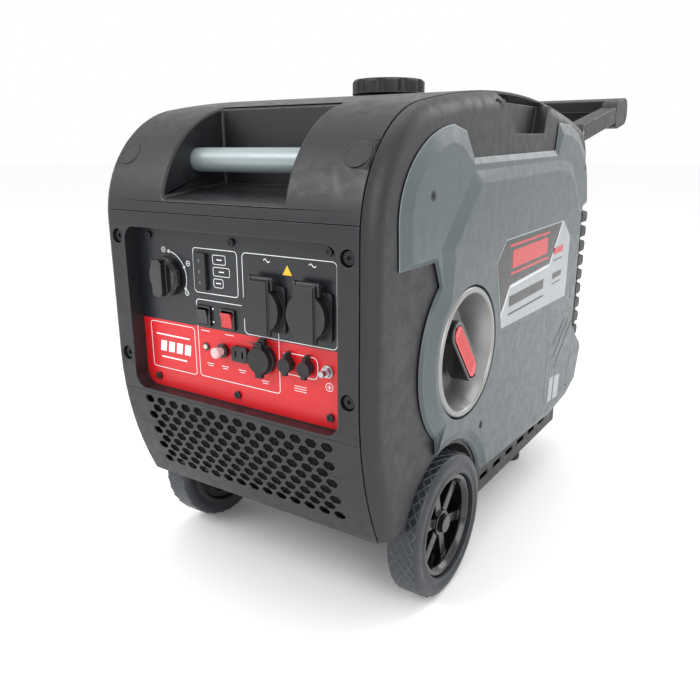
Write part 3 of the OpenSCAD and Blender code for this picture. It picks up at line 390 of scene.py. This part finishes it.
for side, tag in ((1, "right"), (-1, "left")):
    lay = on_side(side)
    whole = [(254, 368), (281, 392), (496, 397), (533, 372), (532, 283), (279, 286)]
    plates("decal_silver_" + tag, [whole], lay, 0.05, 0.15, FOIL_SILVER, "housing")
    dark = [(255.5, 367), (281.8, 390.6), (492, 395.4), (446, 343), (299, 336), (275, 305)]
    plates("decal_black_" + tag, [dark], lay, 0.2, 0.1, FOIL_BLACK, "housing")
    plates("decal_red_" + tag, [
        bar((293, 383), (437, 386), 3), bar((304, 366), (432, 369), 22), bar((300, 349), (438, 352), 3),
        bar((459, 357), (503, 358), 9)], lay, 0.3, 0.08, FOIL_RED, "housing")
    plates("decal_white_" + tag, [
        bar((275.5, 301), (300.5, 333), 3.2), bar((299.5, 333), (447.5, 340.6), 3.2),
        bar((446.5, 340), (493, 396), 3.2)], lay, 0.3, 0.08, FOIL_WHITE, "housing")
    plates("decal_dark_" + tag, [
        bar((300, 315), (426, 318), 13), bar((300, 299), (430, 301), 2.4),
        bar((462, 344), (502, 345), 1.6), bar((464, 322), (502, 323), 8), bar((464, 311), (502, 312), 1.6)],
        lay, 0.3, 0.08, FOIL_BLACK, "housing")
    access = [(473, 259), (574, 256), (593, 204), (577, 132), (515, 127), (468, 131)]
    seams = [bar(access[i], access[(i + 1) % 6], 1.0) for i in range(6)]
    plates("access_seam_" + tag, seams, lay, 0.02, 0.1, FOIL_BLACK, "housing")
    plates("access_ribs_" + tag, [bar((544, 247), (492, 216), 1.3), bar((562, 242), (500, 196), 1.3),
                                  bar((580, 236), (508, 179), 1.3)], lay, 0.05, 0.5, PAINT, "housing")
    slit = arc((528, 228), (7, 14), 0, 345, 23)
    plates("access_slot_" + tag, [slit], lay, 0.05, 0.12, FOIL_BLACK, "housing")
    pins = [arc(spot, 2.2, 0, 330, 11) for spot in ((561, 277), (582, 127.5))]
    plates("cover_pins_" + tag, pins, lay, 0.05, 0.5, FOIL_BLACK, "housing")
    plates("rating_plate_" + tag, [[(490, 165), (509, 163), (506, 125), (488, 127)],
                                   [(514, 162), (540, 159), (536, 123), (512, 125)]],
           lay, 0.1, 0.15, FOIL_SILVER, "housing")

# ---- Carrying bar ----
# A drawn aluminium tube with a satin silver lacquer, held by the two ends of the hand pocket, and
# the round plugs that cover the shell's screws on its shoulders.

SATIN = moulding("satin silver lacquer on aluminium", "#8f9a9c", "#9ca6a8", 0.8, 0.02, 0.36, 0.05,
                 metallic=0.35, stretch=(0.05, 1, 1))
finished("carry_handle_bar", SATIN, 0.8)
finished("shoulder_plugs", ABS, 0.6)

# ---- Screws and feet ----
# Black-oxide socket screws in the bezel, cover and panel, and moulded rubber feet under the rear.

OXIDE = moulding("black-oxide steel", "#1c1d1f", "#2a2b2e", 0.8, 0.02, 0.32, edge_light_and_wear="#8a8d91", metallic=0.7)
RUBBER = moulding("black moulded rubber", "#101113", "#191a1c", 1.6, 0.12, 0.72)
finished("bezel_bolts", OXIDE, 0.5)
finished("cover_screws", OXIDE, 0.3)
finished("panel_screws", OXIDE, 0.3)
finished("rear_feet", RUBBER, 1.2)

# ---- Cooling fins ----
# A column of short scalloped fins moulded on the side shell behind each cover's rear edge, in black
# polypropylene, which keeps the warm air from the outlet away from the cover.


def sized(tree, name, kind, value):
    """A named input on a geometry tree, with its value."""
    tree.interface.new_socket(name, in_out="INPUT", socket_type=kind).default_value = value


def lattice(name):
    """A geometry tree that sets blocks out in rows round or along X, every second row half a step on."""
    tree = bpy.data.node_groups.new(name, "GeometryNodeTree")
    tree.interface.new_socket("Block", in_out="INPUT", socket_type="NodeSocketGeometry")
    sized(tree, "Steps", "NodeSocketInt", 10)
    sized(tree, "Rows", "NodeSocketInt", 1)
    sized(tree, "Row pitch", "NodeSocketFloat", 0.01)
    sized(tree, "Step angle", "NodeSocketFloat", 0.0)
    sized(tree, "Step pitch", "NodeSocketFloat", 0.0)
    tree.interface.new_socket("Finish", in_out="INPUT", socket_type="NodeSocketMaterial")
    tree.interface.new_socket("Blocks", in_out="OUTPUT", socket_type="NodeSocketGeometry")
    given = add(tree, "NodeGroupInput").outputs
    total = add(tree, "ShaderNodeMath", {0: given["Steps"], 1: given["Rows"]},
                operation="MULTIPLY").outputs[0]
    spots = add(tree, "GeometryNodePoints", {"Count": total})
    index = add(tree, "GeometryNodeInputIndex").outputs[0]
    row = add(tree, "ShaderNodeMath", {0: index, 1: given["Rows"]}, operation="MODULO").outputs[0]
    across = add(tree, "ShaderNodeMath", {0: index, 1: given["Rows"]}, operation="DIVIDE").outputs[0]
    step = add(tree, "ShaderNodeMath", {0: across}, operation="FLOOR").outputs[0]
    odd = add(tree, "ShaderNodeMath", {0: row, 1: 2.0}, operation="MODULO").outputs[0]
    half = add(tree, "ShaderNodeMath", {0: odd, 1: 0.5, 2: step}, operation="MULTIPLY_ADD").outputs[0]
    x = add(tree, "ShaderNodeMath", {0: row, 1: given["Row pitch"]}, operation="MULTIPLY").outputs[0]
    y = add(tree, "ShaderNodeMath", {0: half, 1: given["Step pitch"]}, operation="MULTIPLY").outputs[0]
    turn = add(tree, "ShaderNodeMath", {0: half, 1: given["Step angle"]}, operation="MULTIPLY").outputs[0]
    spot = add(tree, "ShaderNodeCombineXYZ", {"X": x, "Y": y})
    placed = add(tree, "GeometryNodeSetPosition", {"Geometry": spots.outputs[0], "Position": spot.outputs[0]})
    angle = add(tree, "ShaderNodeCombineXYZ", {"X": turn})
    euler = add(tree, "FunctionNodeEulerToRotation", {0: angle.outputs[0]})
    blocks = add(tree, "GeometryNodeInstanceOnPoints", {
        "Points": placed.outputs[0], "Instance": given["Block"], "Rotation": euler.outputs[0]})
    real = add(tree, "GeometryNodeRealizeInstances", {"Geometry": blocks.outputs[0]})
    dressed = add(tree, "GeometryNodeSetMaterial", {"Geometry": real.outputs[0], "Material": given["Finish"]})
    add(tree, "NodeGroupOutput", {"Blocks": dressed.outputs[0]})
    return tree


LATTICE = lattice("blocks in staggered rows")


def repeated(name, block, place, material, body, slot=None, **sizes):
    """Repeats a block mesh by the lattice tree and puts the result in place."""
    piece = bpy.data.objects.new(name, block)
    bpy.context.scene.collection.objects.link(piece)
    spread = piece.modifiers.new("rows", "NODES")
    spread.node_group = LATTICE
    wanted = {key.replace("_", " ").capitalize(): value for key, value in sizes.items()}
    wanted["Finish"] = material
    for item in LATTICE.interface.items_tree:
        if item.in_out == "INPUT" and item.name in wanted:
            spread[item.identifier] = wanted[item.name]
    baked(piece)
    piece.data.transform(place)
    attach(piece, body)
    return piece


def block(name, outline, height, shrink=0.8, thickness=0.0):
    """A low block over an outline in its own X and Y, in millimetres, a little smaller on top."""
    work = bmesh.new()
    foot = [work.verts.new((x / 1000, y / 1000, thickness / 1000)) for x, y in outline]
    head = [work.verts.new((x * shrink / 1000, y * shrink / 1000, (thickness + height) / 1000))
            for x, y in outline]
    work.faces.new(foot)
    work.faces.new(head)
    for i in range(len(outline)):
        j = (i + 1) % len(outline)
        work.faces.new((foot[i], foot[j], head[j], head[i]))
    bmesh.ops.recalc_face_normals(work, faces=work.faces)
    mesh = bpy.data.meshes.new(name)
    work.to_mesh(mesh)
    work.free()
    return mesh


for side, tag in ((1, "right"), (-1, "left")):
    fin = block("fin", [(-15, -9), (11, -9), (15, -4), (15, 4), (11, 9), (-15, 9)], 7.5, 0.82)
    stand = Matrix.Translation(at(side * 175.5, 611, 213)) @ Matrix(
        ((0, 0, side, 0), (1, 0, 0, 0), (0, 1, 0, 0), (0, 0, 0, 1)))
    repeated("cooling_fins_" + tag, fin, stand, POLYPROPYLENE, "housing", steps=9, rows=1, step_pitch=0.0225)

# ---- Wheels ----
# Solid rubber tyres with a moulded diamond tread on glossy black six-spoke polypropylene hubs,
# which turn on a zinc-plated steel axle and are kept on by push-fit caps.

# The tread's pale edge colour is a painted highlight on the studs and shoulders together with wear.
TREAD = moulding("tread rubber", "#1d2024", "#292d32", 1.4, 0.10, 0.42, edge_light_and_wear="#8a9199")
GLOSS = moulding("gloss black ABS", "#0b0b0d", "#101013", 2.5, 0.015, 0.2, 0.05, coat=0.3)
ZINC = moulding("zinc-plated steel", "#a2a5a8", "#b7babd", 0.6, 0.02, 0.33, metallic=1.0)


def revolved(name, profile, centre, steps):
    """A closed profile of (x, radius) turned about X."""
    work = bmesh.new()
    rings = []
    for k in range(steps):
        a = 2 * math.pi * k / steps
        rings.append([work.verts.new(at(x, centre[0] + r * math.cos(a), centre[1] + r * math.sin(a)))
                      for x, r in profile])
    for k in range(steps):
        for i in range(len(profile)):
            j = (i + 1) % len(profile)
            one, two = rings[k], rings[(k + 1) % steps]
            work.faces.new((one[i], one[j], two[j], two[i]))
    bmesh.ops.recalc_face_normals(work, faces=work.faces)
    mesh = bpy.data.meshes.new(name)
    work.to_mesh(mesh)
    work.free()
    return mesh


for side, tag in ((1, "right"), (-1, "left")):
    body = "wheel_" + tag
    inner, outer, top = 149.5, 187.5, 82.3
    profile = [(side * x, r) for x, r in [
        (inner, 60), (inner, 63), (inner + 1.4, 65), (inner + 1.4, 69), (inner, 71), (inner, 75),
        (inner + 1.2, 79), (inner + 3.4, 81.4), (inner + 6, top),
        (outer - 6, top), (outer - 3.4, 81.4), (outer - 1.2, 79), (outer, 75),
        (outer, 71), (outer - 1.4, 69), (outer - 1.4, 65), (outer, 63), (outer, 60)]]
    carcass = revolved("tyre_carcass", profile, AXLE, 128)
    tyre = solid("tyre_carcass_" + tag, carcass, TREAD, body)
    eased(tyre, 0)
    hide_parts("tyre_" + tag)
    stud = block("stud", [(5.1, 0), (0, 7.2), (-5.1, 0), (0, -7.2)], 0.5, 0.92, top - 0.1)
    low_row = min(side * (inner + 8.2), side * (outer - 8.2))
    repeated("tyre_tread_" + tag, stud, Matrix.Translation(at(low_row, *AXLE)), TREAD, body, "tyre_rubber",
             steps=34, rows=5, row_pitch=0.0054, step_angle=2 * math.pi / 34)
    finished("wheel_hub_" + tag, GLOSS, 1.2, 3)
finished("wheel_axle", ZINC, 0.6)
finished("axle_caps", GLOSS, 0.8)

# ---- Trolley handle ----
# Two square black polypropylene arms and a hollow crossbar grip, which swing on steel pins between
# the lugs of two brackets screwed to the rear cover.

finished("trolley_arms", POLYPROPYLENE, 2.5, 3)
finished("trolley_grip", POLYPROPYLENE, 2.2, 3)
finished("handle_brackets", POLYPROPYLENE, 1.5)
finished("pivot_pins", ZINC, 0.5)

# ---- Control panel ----
# A sheet steel plate faced with a screen-printed polyester film: charcoal above, red below, with
# thin white frames, and generic symbols in place of lettering.

PANEL_FACE = (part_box("control_panel")[0].y - FRONT) * 1000
PRINT_SPLIT = 0.311


def panel_film():
    """The film's two colours meet at a fixed height."""
    mat = moulding("two-colour printed film", "#16191d", "#1b1e23", 1.2, 0.02, 0.34, 0.05)
    tree = mat.node_tree
    shader = next(n for n in tree.nodes if n.type == "BSDF_PRINCIPLED")
    charcoal = shader.inputs["Base Color"].links[0].from_socket
    place = add(tree, "ShaderNodeTexCoord").outputs["Object"]
    height = add(tree, "ShaderNodeSeparateXYZ", {0: place}).outputs["Z"]
    low = add(tree, "ShaderNodeMath", {0: height, 1: PRINT_SPLIT}, operation="LESS_THAN").outputs[0]
    cloud = add(tree, "ShaderNodeTexNoise", {"Vector": place, "Scale": 30.0, "Detail": 2.0}).outputs["Fac"]
    red = add(tree, "ShaderNodeMix", {0: cloud, 6: colour("#c4161d"), 7: colour("#cc1b22")},
              data_type="RGBA").outputs[2]
    both = add(tree, "ShaderNodeMix", {0: low, 6: charcoal, 7: red}, data_type="RGBA").outputs[2]
    tree.links.new(both, shader.inputs["Base Color"])
    return mat


finished("control_panel", panel_film(), 0)
WHITE_INK = moulding("white screen ink", "#dfe2e4", "#eceeef", 2.0, 0.01, 0.45, 0.04)


def on_panel(u, v, lift):
    return at(u, PANEL_FACE - lift, v)


def ribbon(points, width, closed=False):
    """A line of even width as a list of short quads."""
    count = len(points)
    pairs = range(count if closed else count - 1)
    sides = []
    for i in range(count):
        before = points[(i - 1) % count] if closed or i else points[i]
        after = points[(i + 1) % count] if closed or i < count - 1 else points[i]
        run = Vector((after[0] - before[0], after[1] - before[1])).normalized()
        sides.append([(points[i][0] - s * run.y * width / 2, points[i][1] + s * run.x * width / 2)
                      for s in (1, -1)])
    return [[sides[i][0], sides[(i + 1) % count][0], sides[(i + 1) % count][1], sides[i][1]] for i in pairs]


def round_frame(x0, x1, z0, z1, r):
    """A rectangle's outline with round corners."""
    corners = [((x1 - r, z1 - r), 0), ((x0 + r, z1 - r), 90),
               ((x0 + r, z0 + r), 180), ((x1 - r, z0 + r), 270)]
    return [p for centre, a in corners for p in arc(centre, r, a, a + 90, 6)]


KNOB = ((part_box("engine_switch_knob")[0].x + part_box("engine_switch_knob")[1].x) * 500, 361)
frames = []
for x0, x1, z0, z1, r in ((-55, 6, 348.5, 395, 4), (13, 127, 312.5, 395, 5), (-54, 57, 256, 341, 4),
                          (-128, -59.5, 255, 308, 4), (61, 104, 279, 301, 6)):
    frames += ribbon(round_frame(x0, x1, z0, z1, r), 0.75, True)
for x0, x1, z0, z1 in ((-27, -9.5, 380, 389.5), (-27, -4.5, 368, 377), (-27, -14, 356, 365)):
    frames += ribbon(round_frame(x0, x1, z0, z1, 2), 0.6, True)
frames += ribbon(arc(KNOB, 27.5, 84, -24, 20), 0.8)
for a in (84, 26, -24):
    frames.append(arc(arc(KNOB, 27.5, a, a, 1)[0], 1.7, 0, 345, 15))
for a, r in ((100, 29), (28, 35), (-30, 31)):
    spot = arc(KNOB, r, a, a, 1)[0]
    frames += ribbon(arc(spot, 2.6, 0, 330, 11), 0.7, True)
    frames += ribbon([(spot[0] - 1.4, spot[1]), (spot[0] + 1.4, spot[1])], 0.7)
for x in (44.5, 99.5):
    wave = [(x - 4 + i * 8 / 12, 389.5 + 1.5 * math.sin(i * math.pi / 6)) for i in range(13)]
    frames += ribbon(wave, 0.9)
for p in ((-18, 384.8), (-15.5, 372.5), (-20.5, 360.5)):
    frames += ribbon([(p[0] - 3.5, p[1]), (p[0] + 3.5, p[1])], 1.1)
frames += ribbon(arc((117.5, 274.5), 4.2, 0, 345, 19), 0.6, True)
frames += ribbon([(117.5, 277.2), (117.5, 274.8)], 0.6) + ribbon([(115, 274.8), (120, 274.8)], 0.6)
frames += ribbon([(115.9, 273.4), (119.1, 273.4)], 0.6) + ribbon([(116.8, 272.1), (118.2, 272.1)], 0.6)
for x, z in ((-38, 272), (-17, 272), (7, 272), (38, 266)):
    frames += ribbon([(x - 5, z), (x + 5, z)], 0.7) + ribbon([(x - 3.5, z - 2.4), (x + 3.5, z - 2.4)], 0.7)
for x in (-43, -9):
    frames += ribbon([(x - 6, 307.5), (x + 6, 307.5)], 0.7)
for z in (268.5, 266, 263.5):
    frames += ribbon([(75, z), (90, z)], 0.6)
for z, w in ((294, 52), (268, 40)):
    frames += ribbon([(-94 - w / 2, z), (-94 + w / 2, z)], 1.6)
for i in range(4):
    x = -113 + i * 12.6
    frames.append([(x, 287), (x + 9, 287), (x + 7, 275), (x - 2, 275)])
plates("panel_print", frames, on_panel, 0.05, 0.12, WHITE_INK, "housing")
AMBER_INK = moulding("amber screen ink", "#e8b21c", "#f2bf2a", 2.0, 0.01, 0.42, 0.04)
plates("panel_marker", [[(64, 377.6), (75.4, 377.6), (69.7, 387.2)]], on_panel, 0.05, 0.12, AMBER_INK,
       "housing")

# ---- Panel controls ----
# The turning fuel switch, indicator strip, two rockers, breaker button and the low-voltage outlets:
# gloss and matt thermoplastic mouldings snapped or nutted into the plate.

SOCKET = moulding("matt black thermoplastic", "#17181a", "#1e1f22", 1.2, 0.05, 0.42, edge_light_and_wear="#4d5054")
RED = moulding("gloss red ABS", "#b5161c", "#c01c20", 2.5, 0.015, 0.24, 0.05, coat=0.2)
LENS = moulding("smoked indicator lens", "#3d4448", "#4d555a", 2.0, 0.01, 0.12, 0.03, coat=0.4)
PINK = moulding("translucent silicone button", "#d8a3a3", "#e8bcbc", 2.0, 0.02, 0.35, 0.05, subsurface=0.3)
SOFT = moulding("soft cap rubber", "#111214", "#18191b", 1.2, 0.08, 0.6, edge_light_and_wear="#3b3d40")
finished("engine_switch_knob", GLOSS, 0.9, 3)
finished("engine_switch_body", POLYPROPYLENE, 0.5)
finished("indicator_strip", SOCKET, 0.4)
finished("indicator_lenses", LENS, 0)
finished("rocker_housings", GLOSS, 0.4)
finished("rocker_economy", GLOSS, 0.4)
finished("rocker_start", RED, 0.4)
finished("breaker_body", GLOSS, 0.5)
finished("reset_button", PINK, 0.5)
finished("dc_socket", SOCKET, 0.5)
finished("charger_socket", SOCKET, 0.5)
finished("charger_flap", SOFT, 0.5)
finished("parallel_sockets", SOCKET, 0.4)
finished("parallel_cap_left", SOFT, 0.4)
finished("parallel_cap_right", SOFT, 0.4)
finished("ground_terminal", ZINC, 0.3)
rocker_dots = [arc((-30.4, z), 1.0, 0, 330, 11) for z in (332.8, 318.6)]
plates("rocker_marks", rocker_dots, on_panel, 0.05, 0.15, WHITE_INK, "housing")
plates("pilot_lamp_rim", [arc((-42.7, 290.3), 4.4, 0, 345, 23)], on_panel, 0.05, 1.2, GLOSS, "housing")
AMBER_LAMP = moulding("pilot lamp lens", "#b9b2a0", "#d9d3c2", 2.0, 0.01, 0.15, 0.03, coat=0.4)
plates("pilot_lamp", [arc((-42.7, 290.3), 2.5, 0, 345, 23)], on_panel, 1.2, 1.2, AMBER_LAMP, "housing")

# ---- Mains sockets ----
# Two round earthed outlets in square flanges, each under a spring lid with a raised middle band,
# in matt black thermoplastic, with a flange screw at the corner.

finished("mains_socket_left", SOCKET, 0.5)
finished("mains_socket_right", SOCKET, 0.5)
finished("socket_lid_left", SOCKET, 0.6)
finished("socket_lid_right", SOCKET, 0.6)

# ---- Recoil starter ----
# A spun aluminium dish with a satin clear lacquer, and a black grip with a red insert whose face is
# moulded with small studs, on a drum that the cord inside winds on.

SPUN = moulding("spun satin aluminium", "#8b8c8a", "#999a98", 0.9, 0.015, 0.36, 0.05, metallic=0.85,
                stretch=(6, 1, 1))
NYLON = moulding("natural nylon", "#cfc9b6", "#dcd6c4", 2.0, 0.03, 0.45)
finished("recoil_dish", SPUN, 0.6)
finished("pull_grip", GLOSS, 1.5, 3)
finished("grip_insert", RED, 0.6)
finished("rope_pulley", NYLON, 0.4)
GRIP_ANGLE = math.radians(-50)
grip_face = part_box("grip_insert")[1].x * 1000
stud = block("grip stud", [(0.9, 0.9), (-0.9, 0.9), (-0.9, -0.9), (0.9, -0.9)], 0.5, 0.6)
along = Vector((0, math.cos(GRIP_ANGLE), math.sin(GRIP_ANGLE)))
across = Vector((0, -math.sin(GRIP_ANGLE), math.cos(GRIP_ANGLE)))
start = at(grip_face - 0.1, *RING) - across * 0.006 - along * 0.0315
lie = Matrix.Translation(start) @ Matrix(
    ((0, 0, 1, 0), (across.y, along.y, 0, 0), (across.z, along.z, 0, 0), (0, 0, 0, 1)))
repeated("grip_studs", stud, lie, RED, "pull_grip", "red_plastic", steps=21, rows=5, row_pitch=0.003,
         step_pitch=0.003)

# ---- Fuel ----
# A painted steel tank under the top cover, and a lobed polypropylene cap on its filler neck.

TANK = moulding("dark painted steel", "#33363c", "#3b3e45", 1.5, 0.03, 0.4, edge_light_and_wear="#8f9296")
finished("fuel_tank", TANK, 2.0)
finished("fuel_cap", POLYPROPYLENE, 0.8, 3)
finished("cap_insert", POLYPROPYLENE, 0.4)

# ---- Engine and inverter ----
# The cast aluminium engine with its steel crank, the alternator on its end, the exhaust box, the air
# cleaner and the finned inverter, which show only through the vents and louvres.

CAST = moulding("die-cast aluminium", "#8d9092", "#a3a6a8", 1.2, 0.10, 0.5, metallic=0.8)
COPPER = moulding("enamelled copper winding", "#8f4a22", "#b36434", 0.9, 0.12, 0.35, metallic=0.7,
                  stretch=(8, 1, 1))
finished("engine_block", CAST, 0.8)
finished("crankshaft", ZINC, 0.4)
finished("alternator_rotor", ZINC, 0.5)
finished("alternator_stator", COPPER, 0.5)
finished("muffler", ZINC, 1.0)
finished("inverter_module", CAST, 0.5)
finished("air_cleaner", POLYPROPYLENE, 1.0)

# ---- Studio ----
# A plain pale floor under large soft lights, and the camera at three quarters, a little above.

WALL = moulding("pale studio floor", "#fbfbfb", "#fdfdfd", 40.0, 0.0, 0.9, 0.02)
sheet = bmesh.new()
bmesh.ops.create_circle(sheet, cap_ends=True, segments=96, radius=30)
floor_mesh = bpy.data.meshes.new("studio_floor")
sheet.to_mesh(floor_mesh)
sheet.free()
floor_mesh.materials.append(WALL)
floor = bpy.data.objects.new("studio_floor", floor_mesh)
bpy.context.scene.collection.objects.link(floor)

world = bpy.data.worlds.new("studio")
world.use_nodes = True
world.node_tree.nodes["Background"].inputs["Color"].default_value = colour("#ffffff")
world.node_tree.nodes["Background"].inputs["Strength"].default_value = 1.0
bpy.context.scene.world = world


def softbox(name, place, size, watts):
    """A square light that looks at the body's middle."""
    lamp = bpy.data.lights.new(name, "AREA")
    lamp.size = size
    lamp.energy = watts
    holder = bpy.data.objects.new(name, lamp)
    holder.location = place
    holder.rotation_euler = (Vector((0, -0.15, 0.28)) - Vector(place)).to_track_quat("-Z", "Y").to_euler()
    bpy.context.scene.collection.objects.link(holder)


softbox("key", (-1.4, -2.4, 2.3), 1.6, 44)
softbox("fill", (2.6, -1.6, 1.5), 1.8, 30)
softbox("top", (0.2, 0.2, 2.8), 2.2, 22)
softbox("back", (1.2, 2.6, 1.8), 1.6, 18)

lens = bpy.data.cameras.new("camera")
lens.sensor_width = 36
lens.lens = 35.62
camera = bpy.data.objects.new("camera", lens)
camera.location = (0.47813, FRONT - 0.4920, 0.49222)
camera.rotation_euler = (math.radians(90 - 16.131), 0, math.radians(33.473))
bpy.context.scene.collection.objects.link(camera)
bpy.context.scene.camera = camera
bpy.context.scene.view_settings.view_transform = "Standard"
